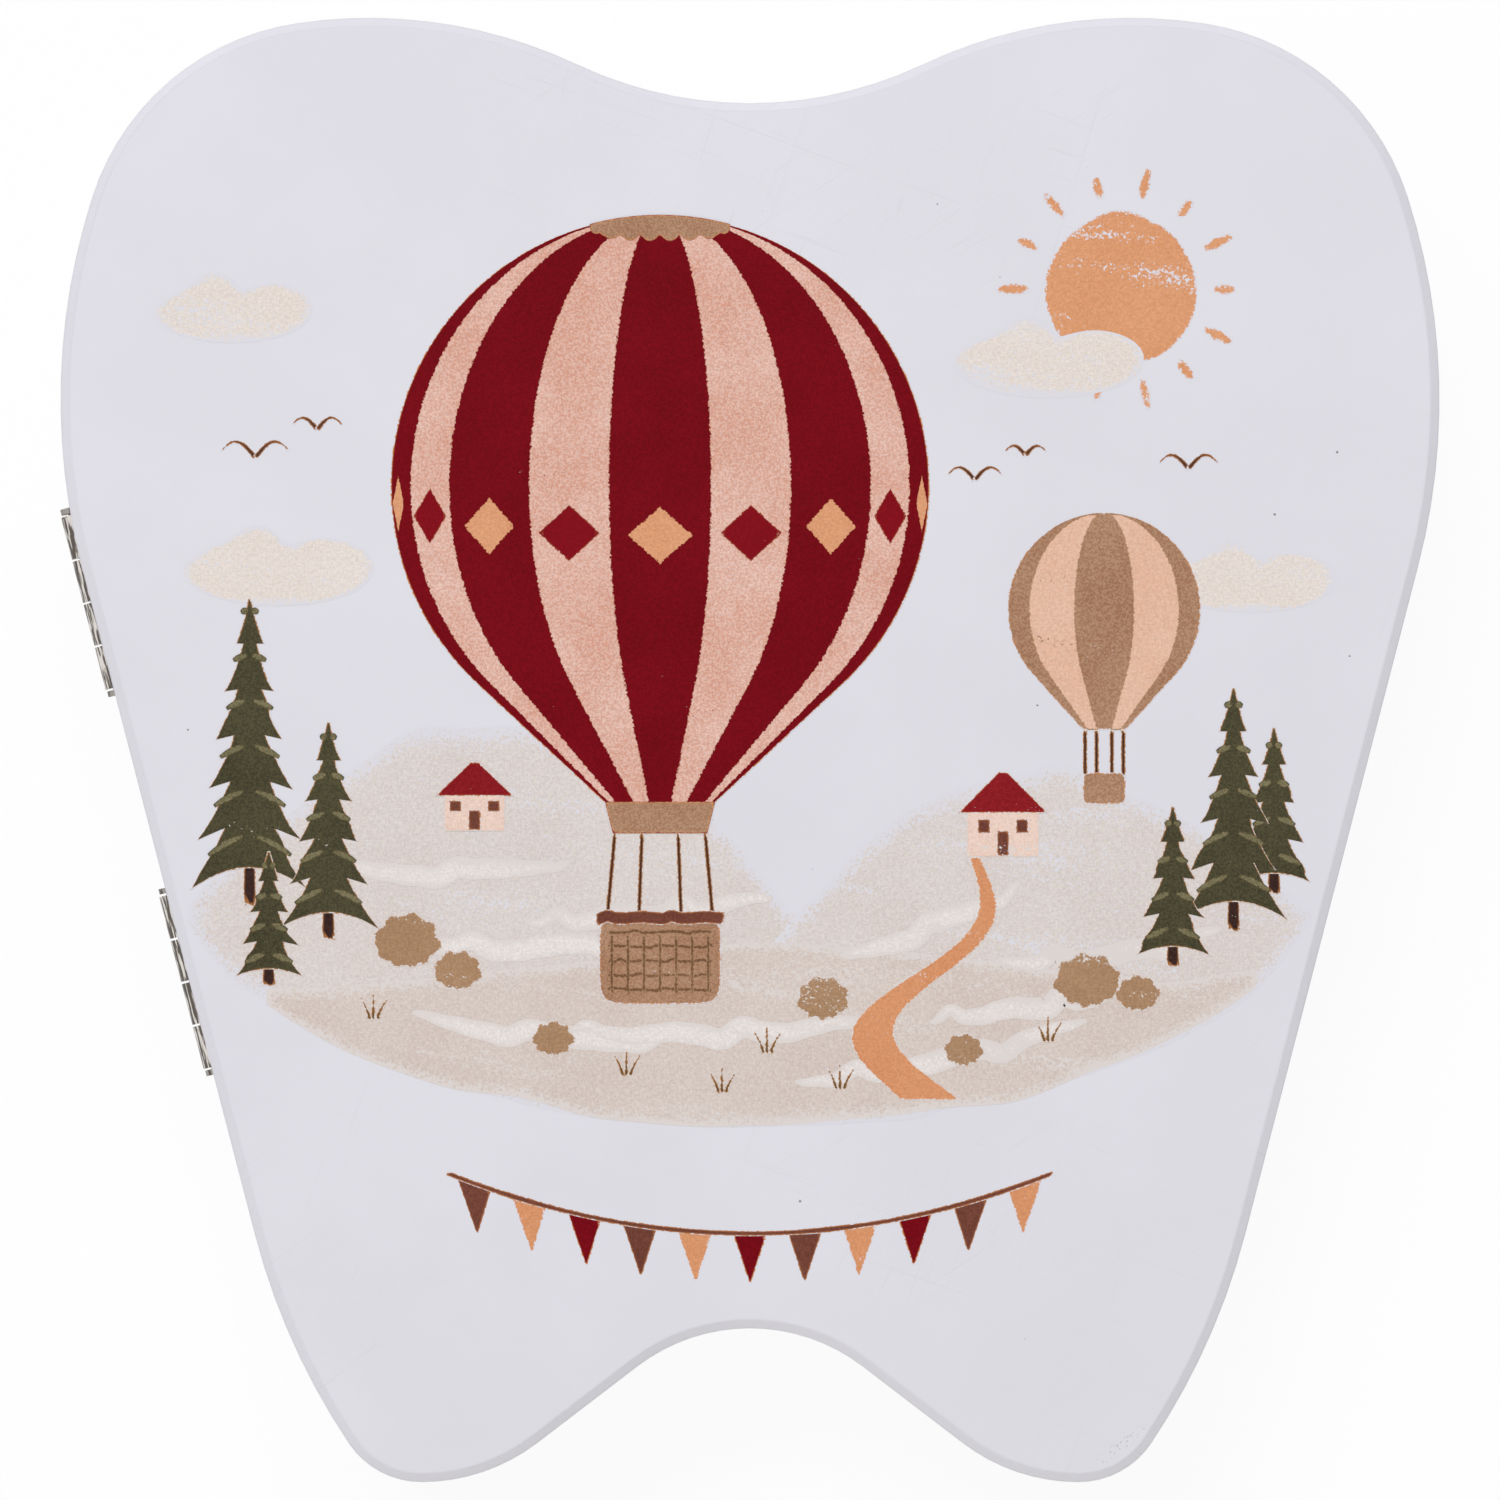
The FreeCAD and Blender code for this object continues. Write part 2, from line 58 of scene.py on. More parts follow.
# %% Helpers for shader nodes
def put(tree, kind, values=None, **settings):
    """Add one node, with its own settings and with numbers or links on its input sockets."""
    made = tree.nodes.new("ShaderNode" + kind)
    for name, value in settings.items():
        setattr(made, name, value)
    for key, value in (values or {}).items():
        if isinstance(value, bpy.types.NodeSocket):
            tree.links.new(value, made.inputs[key])
        else:
            made.inputs[key].default_value = value
    return made.outputs


def calc(tree, operation, *values):
    """One sum on one, two or three values."""
    return put(tree, "Math", dict(enumerate(values)), operation=operation)[0]


def blend(tree, share, first, second):
    """Colour that goes from first to second as the share goes from 0 to 1."""
    return put(tree, "Mix", {0: share, 6: first, 7: second}, data_type="RGBA")[2]


def ramp(tree, value, low, high, start=0.0, stop=1.0):
    """Smooth step from start to stop while the value goes from low to high."""
    spans = {"Value": value, "From Min": low, "From Max": high, "To Min": start, "To Max": stop}
    return put(tree, "MapRange", spans, interpolation_type="SMOOTHSTEP")[0]


def grain(tree, place, scale, stretch=(1, 1, 1), turn=0.0, detail=2.0):
    """Soft noise with about `scale` lumps to the metre, stretched along the axes after a turn."""
    turned = put(tree, "VectorRotate", {"Vector": place, "Angle": turn}, rotation_type="Z_AXIS")[0]
    drawn = put(tree, "VectorMath", {0: turned, 1: stretch}, operation="MULTIPLY")[0]
    return put(tree, "TexNoise", {"Vector": drawn, "Scale": scale, "Detail": detail})[0]


def chart(red, green, blue):
    """Linear colour from a chart's 0 to 255 values: the power law of the screen, undone."""
    share = np.array((red, green, blue)) / 255
    linear = np.where(share <= 0.04045, share / 12.92, ((share + 0.055) / 1.055) ** 2.4)
    return (*linear.tolist(), 1.0)


def new_group(name, inputs, outputs):
    """An empty node group with named sockets; gives its tree, input node and output node."""
    tree = bpy.data.node_groups.new(name, "ShaderNodeTree")
    for way, sockets in (("INPUT", inputs), ("OUTPUT", outputs)):
        for socket, kind in sockets.items():
            tree.interface.new_socket(socket, in_out=way, socket_type="NodeSocket" + kind)
    return tree, tree.nodes.new("NodeGroupInput").outputs, tree.nodes.new("NodeGroupOutput").inputs


def new_material(name):
    """An empty material; gives it with its tree and the object's own coordinates."""
    material = bpy.data.materials.new(name)
    material.use_nodes = True
    tree = material.node_tree
    tree.nodes.clear()
    return material, tree, put(tree, "TexCoord")["Object"]


def show(tree, shader):
    """Put a shader on the surface."""
    put(tree, "OutputMaterial", {"Surface": shader})


PAINT = chart(223, 222, 229)
print("paint, linear:", [round(value, 3) for value in PAINT[:3]])

# %% [markdown]
# The boards are fibreboard under a sprayed satin paint, a white with a touch of lavender. Close up
# the coat is never even: it is faintly cloudy, has the dimples of sprayed paint, holds a few dark
# specks of dust, and picks up hairline scratches on the shelf. All this goes into one node group,
# so that the lid and the box below it share one coat and differ only in how many specks it holds.

# %% The coat of paint, as a node group
coat, given, result = new_group(
    "paint_coat",
    {"Place": "Vector", "Paint": "Color", "Specks": "Float"},
    {"Color": "Color", "Roughness": "Float", "Height": "Float"},
)
cloud = grain(coat, given["Place"], 55, detail=4)
dimples = grain(coat, given["Place"], 1500, detail=3)
cells = put(coat, "TexVoronoi", {"Vector": given["Place"], "Scale": 900})
pick = put(coat, "SeparateColor", {0: cells["Color"]})
chosen = calc(coat, "LESS_THAN", pick[0], given["Specks"])
reach = calc(coat, "MULTIPLY_ADD", pick[1], 0.07, 0.05)
spread = calc(coat, "DIVIDE", cells["Distance"], reach)
speck = calc(coat, "MULTIPLY", chosen, ramp(coat, spread, 0.4, 1.3, 1.0, 0.0))
worn = ramp(coat, grain(coat, given["Place"], 30), 0.5, 0.68)
hairs = []
for turn in (0.35, -0.6, 1.9):
    line = grain(coat, given["Place"], 9, stretch=(1, 110, 1), turn=turn, detail=1)
    near = calc(coat, "ABSOLUTE", calc(coat, "SUBTRACT", line, 0.5))
    hairs.append(ramp(coat, near, 0.0, 0.006, 1.0, 0.0))
crossed = calc(coat, "MAXIMUM", calc(coat, "MAXIMUM", *hairs[:2]), hairs[2])
hair = calc(coat, "MULTIPLY", crossed, worn)
shade = ramp(coat, cloud, 0.3, 0.7, 0.982, 1.014)
cloudy = put(coat, "VectorMath", {0: given["Paint"], "Scale": shade}, operation="SCALE")[0]
scratched = blend(coat, calc(coat, "MULTIPLY", hair, 0.25), cloudy, chart(205, 204, 210))
specked = blend(coat, calc(coat, "MULTIPLY", speck, 0.85), scratched, chart(82, 75, 74))
sprayed = ramp(coat, cloud, 0.3, 0.7, 0.4, 0.5)
coat.links.new(specked, result["Color"])
coat.links.new(calc(coat, "MULTIPLY_ADD", hair, 0.12, sprayed), result["Roughness"])
coat.links.new(calc(coat, "SUBTRACT", dimples, hair), result["Height"])
print("paint coat:", len(coat.nodes), "nodes")

# %% [markdown]
# The lid's face and the sides of the box get the same coat. It runs softly over every edge, so
# close to an edge the shading turns gradually from one face to the next. The paint bridges the
# glue line between the two lower boards, but a fine grey line still shows there, so the box's
# material darkens a little at that height. The lid has a faint strip of small dents along the edge
# of its right root.

# %% Painted boards
def coated(name, specks):
    """A new material with the coat of paint in it."""
    material, tree, place = new_material(name)
    skin = tree.nodes.new("ShaderNodeGroup")
    skin.node_tree = coat
    skin.inputs["Paint"].default_value = PAINT
    skin.inputs["Specks"].default_value = specks
    tree.links.new(place, skin.inputs["Place"])
    return material, tree, place, skin.outputs


EDGE_RADIUS = 0.4 * MM


def paint_shader(tree, colour, skin):
    """Satin paint in a given colour, with the coat's dimples and gloss, softened at edges."""
    soft = put(tree, "Bevel", {"Radius": EDGE_RADIUS}, samples=4)[0]
    bump = put(tree, "Bump", {"Height": skin["Height"], "Strength": 0.06, "Distance": 0.1 * MM,
                              "Normal": soft})[0]
    return put(tree, "BsdfPrincipled", {"Base Color": colour, "Roughness": skin["Roughness"],
                                        "Normal": bump, "Specular IOR Level": 0.4})[0]


lid_paint, tree, place, skin = coated("lid_paint", 0.011)
SCUFF, SCUFF_TURN, SCUFF_SHAPE = (33.1 * MM, -61.8 * MM, lid_top), -0.65, (0.16, 1, 1)
SCUFF_CORE, SCUFF_HALF = 0.1 * MM, 0.8 * MM
reach = put(tree, "VectorMath", {0: place, 1: SCUFF}, operation="SUBTRACT")[0]
turned = put(tree, "VectorRotate", {"Vector": reach, "Angle": SCUFF_TURN},
             rotation_type="Z_AXIS")[0]
strip = put(tree, "VectorMath", {0: turned, 1: SCUFF_SHAPE}, operation="MULTIPLY")[0]
away = put(tree, "VectorMath", {0: strip}, operation="LENGTH")["Value"]
dots = put(tree, "TexVoronoi", {"Vector": place, "Scale": 3300})
strong = ramp(tree, put(tree, "SeparateColor", {0: dots["Color"]})[0], 0.2, 0.7)
grit = calc(tree, "MULTIPLY", ramp(tree, dots["Distance"], 0.16, 0.42, 1.0, 0.0), strong)
scuff = calc(tree, "MULTIPLY", ramp(tree, away, SCUFF_CORE, SCUFF_HALF, 0.75, 0.0), grit)
show(tree, paint_shader(tree, blend(tree, scuff, skin["Color"], chart(184, 178, 186)), skin))

box_paint, tree, place, skin = coated("box_paint", 0.015)
glue_height, GLUE_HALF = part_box("back_board")[1].z, 0.14 * MM
above = calc(tree, "SUBTRACT", put(tree, "SeparateXYZ", {0: place})[2], glue_height)
line = ramp(tree, calc(tree, "ABSOLUTE", above), 0.0, GLUE_HALF, 0.5, 0.0)
filled = calc(tree, "MULTIPLY", line, grain(tree, place, 90, detail=3))
show(tree, paint_shader(tree, blend(tree, filled, skin["Color"], chart(150, 146, 144)), skin))
painted = (("lid_board", lid_paint), ("well_board", box_paint), ("back_board", box_paint))
for node, material in painted:
    frame["nodes"][node].data.materials.clear()
    frame["nodes"][node].data.materials.append(material)
print("painted boards:", [material.name for material in (lid_paint, box_paint)])

# %% [markdown]
# The hinges are steel with nickel plate, which is warmer than chrome. The strip is drawn and then
# rolled round the pin. Bright and brown bands are painted along the barrel as reflections, while
# the flat leaves are matted, with fine lines and small dull spots. How far a point lies from the
# hinge's axis tells barrel and leaf apart. The same node group serves hinges, pins, screws and
# magnets; all but the leaves have an older, darker plate.

# %% Nickel plate
FLAT_SHARE, HINGE_LEAN = 0.22, -0.253
nickel, given, result = new_group(
    "nickel_plate",
    {"Place": "Vector", "Dull": "Float", "Barrel": "Float", "Aged": "Float"},
    {"Color": "Color", "Roughness": "Float", "Height": "Float"},
)
lines = grain(nickel, given["Place"], 9000, stretch=(1, 0.03, 1), turn=HINGE_LEAN)
# Lengthwise streaks on the barrel: a painted reflection, dark bands between bright ones.
painted_reflection_streaks = grain(nickel, given["Place"], 4600, stretch=(1, 0.1, 1), turn=HINGE_LEAN)
painted_reflection_bands = ramp(nickel, painted_reflection_streaks, 0.43, 0.53)
spots = ramp(nickel, grain(nickel, given["Place"], 900, detail=4), 0.55, 0.72, 0.0, 0.7)
painted_barrel_reflections = calc(nickel, "MULTIPLY", painted_reflection_bands, given["Barrel"])
satin = ramp(nickel, given["Barrel"], FLAT_SHARE, 1.0, 1.0, 0.0)
marks_and_painted_reflections = calc(nickel, "MAXIMUM", calc(nickel, "MAXIMUM", painted_barrel_reflections, spots), given["Aged"])
fainter = calc(nickel, "MULTIPLY", marks_and_painted_reflections, calc(nickel, "MULTIPLY_ADD", satin, -0.6, 1.0))
matted = calc(nickel, "MULTIPLY_ADD", satin, 0.4, fainter)
# Tarnish, spots and the barrel's painted reflection bands, as one share towards dark brown.
tarnish_and_painted_reflection = calc(nickel, "MULTIPLY", matted, given["Dull"])
nickel.links.new(blend(nickel, tarnish_and_painted_reflection, chart(220, 214, 208), chart(66, 56, 50)), result["Color"])
drawn = ramp(nickel, lines, 0.3, 0.7, 0.1, 0.2)
etched = calc(nickel, "MULTIPLY_ADD", given["Aged"], 0.3, drawn)
ground = calc(nickel, "MAXIMUM", etched, calc(nickel, "MULTIPLY_ADD", satin, 0.5, drawn))
nickel.links.new(calc(nickel, "MULTIPLY_ADD", tarnish_and_painted_reflection, 0.15, ground), result["Roughness"])
nickel.links.new(lines, result["Height"])


hinge_point = np.array(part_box("upper_hinge_pin")).mean(axis=0)
hinge_axis = np.array(frame["joints"][0]["axis"])
BARREL_REACH, LEAF_REACH = 1.3 * MM, 1.7 * MM


def plated(name, dull, aged=0.0):
    """Nickel plate with its share of tarnish, even ageing, and painted reflection bands by the
    axis.
    """
    material, tree, place = new_material(name)
    skin = tree.nodes.new("ShaderNodeGroup")
    skin.node_tree = nickel
    skin.inputs["Dull"].default_value = dull
    skin.inputs["Aged"].default_value = aged
    tree.links.new(place, skin.inputs["Place"])
    reach = put(tree, "VectorMath", {0: place, 1: hinge_point}, operation="SUBTRACT")[0]
    across = put(tree, "VectorMath", {0: reach, 1: hinge_axis}, operation="CROSS_PRODUCT")[0]
    away = put(tree, "VectorMath", {0: across}, operation="LENGTH")["Value"]
    # On the barrel, close to the axis, the painted reflection bands are at full strength.
    by_axis = ramp(tree, away, BARREL_REACH, LEAF_REACH, 1.0, FLAT_SHARE)
    tree.links.new(by_axis, skin.inputs["Barrel"])
    bump = put(tree, "Bump", {"Height": skin.outputs["Height"], "Strength": 0.1,
                              "Distance": 0.02 * MM})[0]
    show(tree, put(tree, "BsdfPrincipled", {
        "Base Color": skin.outputs["Color"], "Roughness": skin.outputs["Roughness"],
        "Normal": bump, "Metallic": 1.0})[0])
    return material


hinge_nickel = plated("hinge_nickel", 0.9)
pin_nickel = plated("pin_nickel", 0.9, 0.62)
screw_nickel = plated("screw_nickel", 0.9, 0.7)
magnet_nickel = plated("magnet_nickel", 0.7, 0.8)
for ending, plate in (("_leaf", hinge_nickel), ("_pin", pin_nickel), ("_magnet", magnet_nickel)):
    plated_solids = [node for node in frame["nodes"] if node.endswith(ending)]
    for node in plated_solids:
        frame["nodes"][node].data.materials.clear()
        frame["nodes"][node].data.materials.append(plate)
    print(plate.name, "on", plated_solids)

# %% [markdown]
# New pieces are thin or small closed bodies: an upper surface, a lower one, and a wall round the
# rim. If both surfaces are grids of the same count, one builder makes them all. It needs no loop
# over the points: the faces of a grid are four shifted copies of its index table. Each point also
# stores how far it lies from the rim, in millimetres, which later lets ink thin out towards its
# edge.

# %% A closed body from two grids
def rim_distance(grid):
    """Distance to the rim: the shortest of the four ways along the grid's own lines."""
    shortest = np.full(grid.shape[:2], np.inf)
    for axis in (0, 1):
        steps = np.linalg.norm(np.diff(grid, axis=axis), axis=2)
        start = np.zeros_like(np.take(steps, [0], axis=axis))
        walked = np.concatenate((start, np.cumsum(steps, axis=axis)), axis=axis)
        left = np.take(walked, [-1], axis=axis) - walked
        shortest = np.minimum(shortest, np.minimum(walked, left))
    return shortest / MM


def closed_faces(rows, columns, flip):
    """Quads of an upper grid, the same grid below it turned over, and a wall round the rim."""
    table = np.arange(rows * columns).reshape(rows, columns)
    shifted = (table[:-1, :-1], table[1:, :-1], table[1:, 1:], table[:-1, 1:])
    upper = np.stack(shifted, 2).reshape(-1, 4)
    rim = np.concatenate((table[:-1, 0], table[-1, :-1], table[:0:-1, -1], table[0, :0:-1]))
    ahead = np.roll(rim, -1)
    below = rows * columns
    wall = np.stack((rim + below, ahead + below, ahead, rim), 1)
    faces = np.concatenate((upper, upper[:, ::-1] + below, wall))
    return faces[:, ::-1] if flip else faces


def closed_piece(name, pairs, body, material):
    """One object from pairs of grids: points are stacked, each pair's faces are shifted along."""
    points, faces, edges, count = [], [], [], 0
    for upper, lower in pairs:
        across = np.cross(np.diff(upper, axis=0)[:, :-1], np.diff(upper, axis=1)[:-1])
        flip = np.sum(across * (upper - lower)[:-1, :-1]) < 0
        points += [upper.reshape(-1, 3), lower.reshape(-1, 3)]
        faces.append(closed_faces(*upper.shape[:2], flip) + count)
        edges += [rim_distance(upper).ravel()] * 2
        count += 2 * upper.shape[0] * upper.shape[1]
    mesh = bpy.data.meshes.new(name)
    mesh.from_pydata(np.concatenate(points).tolist(), [], np.concatenate(faces).tolist())
    mesh.attributes.new("rim", "FLOAT", "POINT").data.foreach_set("value", np.concatenate(edges))
    mesh.materials.append(material)
    piece = bpy.data.objects.new(name, mesh)
    bpy.context.scene.collection.objects.link(piece)
    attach(piece, body)
    print(name, "on", body, "-", len(mesh.polygons), "faces")
    return piece


# %% [markdown]
# Round shapes start from a square grid that is bent into a disc. Rings round a middle point would
# meet in a pole, where faces shrink to slivers; the bent square has no pole. A reach that depends
# on the angle then turns the disc into any rounded outline, from a cloud to a basket.

# %% Discs without a pole
def shares(count):
    """Shares from 0 to 1 that crowd towards both ends: half of one minus the cosine."""
    return (1 - np.cos(np.linspace(0, np.pi, count))) / 2


def unit_disc(count):
    """Square bent into a disc: the larger coordinate is the radius, their ratio is the angle."""
    side = 2 * shares(count) - 1
    a, b = np.meshgrid(side, side, indexing="ij")
    wide = np.abs(a) >= np.abs(b)
    radius = np.where(wide, a, b)
    ratio = np.where(wide, b, a) / np.where(radius == 0, 1, radius)
    turn = np.where(wide, ratio * np.pi / 4, np.pi / 2 - ratio * np.pi / 4)
    return np.stack((radius * np.cos(turn), radius * np.sin(turn)), 2)


print("disc grid:", unit_disc(33).shape)

# %% [markdown]
# Two small countersunk screws hold each hinge leaf. Such fasteners are too small for the solids,
# which only have their flared holes, so their heads are made here: a low dome on the bent square
# with a cross pressed into it, over a cone that fills the flare. They show when the lid is open.

# %% Hinge screws
SCREW_RADIUS, SCREW_RISE, CONE_DEPTH, SLOT_DEPTH = 1.25 * MM, 0.16 * MM, 0.62 * MM, 0.34 * MM
SCREW_SPACING, SCREW_REACH, RIM_DEPTH = 8.0 * MM, 3.975 * MM, 0.58 * MM
ARM_HALF, ARM_REACH, ARM_STEEP = 0.17, 0.7, 8
into = np.cross((0, 0, 1), hinge_axis)


def screw_head(middle, up):
    """Dome: rise times one minus r squared, less a cross of two bands, over a narrowing cone."""
    disc = unit_disc(49)
    r = np.linalg.norm(disc, axis=2)
    inside = np.clip(ARM_STEEP * (ARM_REACH - r), 0, 1)
    arms = np.clip(ARM_STEEP * (ARM_HALF - np.abs(disc)), 0, 1) * inside[..., None]
    rise = SCREW_RISE * (1 - r**2) - SLOT_DEPTH * arms.max(axis=2)
    across = SCREW_RADIUS * (disc[..., :1] * hinge_axis + disc[..., 1:] * into)
    lift = np.array((0, 0, up))
    return middle + across + rise[..., None] * lift, middle + across / 2 - CONE_DEPTH * lift


for body, up in (("base", 1), ("lid", -1)):
    heads = []
    for hinge in ("upper", "lower"):
        corners = np.array(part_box(f"{hinge}_hinge_pin"))
        for side in (-0.5, 0.5):
            spot = corners.mean(axis=0) + hinge_axis * side * SCREW_SPACING + into * SCREW_REACH
            heads.append(screw_head(spot - np.array((0, 0, up)) * RIM_DEPTH, up))
    closed_piece(f"{body}_hinge_screws", heads, body, screw_nickel)

# %% [markdown]
# The picture on the lid is printed over the paint, so it is a stack of very thin films of ink, a
# hundredth of a millimetre apart. Print on board is never flat colour: it is mottled, shows the
# fine weave of the brush and of the printer's screen, goes ragged at its edges and leaves a thin
# warm fringe there. One node group gives all of it, and reads the distance to the rim that each
# film stores.

# %% Ink, as a node group
print_ink, given, result = new_group(
    "print_ink",
    {"Place": "Vector", "Rim": "Float", "Ink": "Color", "Shade": "Color", "Ground": "Color",
     "Ragged": "Float", "Cover": "Float", "Fringe": "Float"},
    {"Color": "Color", "Height": "Float"},
)
mottle = ramp(print_ink, grain(print_ink, given["Place"], 160, detail=6), 0.35, 0.68)
speckle = ramp(print_ink, grain(print_ink, given["Place"], 5200), 0.4, 0.6)
weft = grain(print_ink, given["Place"], 6400, stretch=(1, 0.4, 1))
warp = grain(print_ink, given["Place"], 6400, stretch=(0.4, 1, 1))
weave = calc(print_ink, "MULTIPLY", calc(print_ink, "ADD", weft, warp), 0.5)
uneven = calc(print_ink, "MULTIPLY_ADD", mottle, 0.35, calc(print_ink, "MULTIPLY", speckle, 0.65))
toned = blend(print_ink, uneven, given["Ink"], given["Shade"])
threads = ramp(print_ink, weave, 0.36, 0.64, 0.93, 1.07)
woven = put(print_ink, "VectorMath", {0: toned, "Scale": threads}, operation="SCALE")[0]
by_rim = ramp(print_ink, given["Rim"], 0.04, 0.2, 1.0, 0.0)
fringe = calc(print_ink, "MULTIPLY", by_rim, given["Fringe"])
fringed = blend(print_ink, fringe, woven, chart(226, 150, 84))
spray = calc(print_ink, "SUBTRACT", grain(print_ink, given["Place"], 4200), 0.5)
edge = calc(print_ink, "DIVIDE", given["Rim"], given["Ragged"])
reached = calc(print_ink, "MULTIPLY_ADD", spray, 2.4, edge)
solid = ramp(print_ink, reached, 0.15, 0.6)
streaks = grain(print_ink, given["Place"], 420, stretch=(0.12, 1, 1), turn=0.12, detail=5)
dry = calc(print_ink, "MULTIPLY_ADD", spray, 0.9, streaks)
held = ramp(print_ink, calc(print_ink, "SUBTRACT", dry, given["Cover"]), -0.06, 0.06, 1.0, 0.0)
inked = calc(print_ink, "MULTIPLY", solid, held)
print_ink.links.new(blend(print_ink, inked, given["Ground"], fringed), result["Color"])
print_ink.links.new(calc(print_ink, "MULTIPLY", inked, weave), result["Height"])
print("ink group:", len(print_ink.nodes), "nodes")

# %% [markdown]
# Each ink is that group with two tones of its own, the colour of the ground it lies on, the width
# of its ragged edge, how well it covers, and how strong the fringe is.

# %% Inks
def mix_ink(name, ink, shade, ground=PAINT, ragged=0.16, cover=0.86, fringe=0.5):
    """Printed ink with its own tone, ground colour, raggedness in millimetres and cover."""
    material, tree, place = new_material(name)
    skin = tree.nodes.new("ShaderNodeGroup")
    skin.node_tree = print_ink
    for key, value in (("Ink", ink), ("Shade", shade), ("Ground", ground), ("Ragged", ragged),
                       ("Cover", cover), ("Fringe", fringe)):
        skin.inputs[key].default_value = value
    tree.links.new(place, skin.inputs["Place"])
    tree.links.new(put(tree, "Attribute", attribute_name="rim")["Fac"], skin.inputs["Rim"])
    bump = put(tree, "Bump", {"Height": skin.outputs["Height"], "Strength": 0.12,
                              "Distance": 0.03 * MM})[0]
    show(tree, put(tree, "BsdfPrincipled", {
        "Base Color": skin.outputs["Color"], "Roughness": 0.5, "Normal": bump,
        "Specular IOR Level": 0.05})[0])
    return material


SAND, CRIMSON = chart(224, 216, 212), chart(124, 6, 21)
crimson_ink = mix_ink("crimson_ink", CRIMSON, chart(108, 2, 15), cover=0.93, fringe=0.8)
pink_ink = mix_ink("pink_ink", chart(232, 196, 183), chart(215, 158, 137), CRIMSON,
                   0.22, 0.88, 0.2)
tan_ink = mix_ink("tan_ink", chart(184, 146, 118), chart(158, 114, 86))
bark_ink = mix_ink("bark_ink", chart(44, 28, 27), chart(66, 42, 36), SAND, 0.1)
olive_ink = mix_ink("olive_ink", chart(84, 80, 56), chart(62, 58, 42), SAND, 0.14)
moss_ink = mix_ink("moss_ink", chart(128, 122, 92), chart(104, 99, 72), chart(84, 80, 56),
                   0.2, 0.7, 0.1)
sand_ink = mix_ink("sand_ink", SAND, chart(217, 206, 201), PAINT, 3.0, 0.72, 0.0)
dune_ink = mix_ink("dune_ink", chart(220, 208, 200), chart(211, 196, 187), SAND, 1.6, 0.7, 0.0)
cream_ink = mix_ink("cream_ink", chart(235, 229, 226), chart(229, 221, 217), SAND, 0.8, 0.56, 0.0)
peach_ink = mix_ink("peach_ink", chart(222, 156, 112), chart(213, 143, 100), SAND, 0.2, 0.8, 0.3)
brown_ink = mix_ink("brown_ink", chart(104, 58, 47), chart(122, 72, 58), PAINT, 0.1)
print("inks:", sum(material.name.endswith("_ink") for material in bpy.data.materials))

# %% [markdown]
# A film's outline is drawn in one of three ways. A ruled film lies between two lines, a stroke is
# a ruled film on both sides of a path, and a rounded film is the bent square with a reach for each
# angle. All are worked out in millimetres on the lid's face. A few summed sine waves make an edge
# waver as a hand-held brush does, the same in every run.

# %% Films of ink
def waver(share, size, seed):
    """Unsteady line: four sine waves, each faster and weaker, with phases that follow the seed."""
    waves = np.arange(1, 5)[:, None]
    turns = 2 * np.pi * (share[None] * (waves * 2 + seed % 3) + (seed * waves * 0.37) % 1)
    return size * (np.sin(turns) / waves).sum(axis=0)


def ruled(first, second, count=9):
    """Film between two lines: first plus a share of the way to second."""
    share = shares(count)[None, :, None]
    return first[:, None] + share * (second - first)[:, None]


def stroke(x, y, width, count=5):
    """Brush stroke along a path: half the width to each side, square to the path's direction."""
    path = np.stack((x, y), 1)
    way = np.gradient(path, axis=0)
    square = np.stack((-way[:, 1], way[:, 0]), 1) / np.linalg.norm(way, axis=1)[:, None]
    half = square * np.broadcast_to(width, x.shape)[:, None] / 2
    return ruled(path - half, path + half, count)


def rounded(x, y, reach, count=33):
    """Rounded film: the bent square times the reach at each angle round its middle."""
    disc = unit_disc(count)
    return np.array((x, y)) + disc * reach(np.arctan2(disc[..., 1], disc[..., 0]))[..., None]


def four_sided(*corners):
    """Flat film between four corners: each side is followed in equal shares."""
    a, b, c, d = (np.array(corner, float) for corner in corners)
    share = shares(9)[:, None]
    return ruled(a + (b - a) * share, d + (c - d) * share)


FILM = 0.01


def print_film(name, level, material, films, spread=0.8):
    """Films of one ink, each a share of a level above the last, with undersides in the paint."""
    pairs = []
    for film, lift in zip(films, np.add(level, spread * np.arange(len(films)) / len(films))):
        height = np.full(film.shape[:2] + (1,), lid_top / MM)
        pairs.append((np.concatenate((film, height + lift * FILM), 2) * MM,
                      np.concatenate((film, height - FILM), 2) * MM))
    closed_piece(name, pairs, "lid", material)


# %% [markdown]
# The ground of the picture is a set of pale sand hills. Each is a lens: its foot lies on one wide
# arc, so that the picture ends below in an oval, and its back is that arc plus a hump. A wide
# ragged margin lets the paint show through the spray of the brush, and a few lighter strokes
# follow the slopes.

# %% Hills
def foot(x):
    """Lower edge of the picture: the lower half of a wide oval."""
    return -9.0 - 24.0 * np.sqrt(1 - (x / 51.5) ** 2)


def hill(start, stop, rise, lean, seed):
    """Back of the hill: the foot plus the rise times a sine hump, leaning to one side."""
    share = np.linspace(0, 1, 160)
    x = start + (stop - start) * share
    back = foot(x) + 0.4 + rise * np.sin(np.pi * share**lean) ** 0.85 + waver(share, 0.35, seed)
    low = foot(x) - 0.4 + waver(share, 0.25, seed + 1)
    return ruled(np.stack((x, np.maximum(back, low + 0.3)), 1), np.stack((x, low), 1), 21)


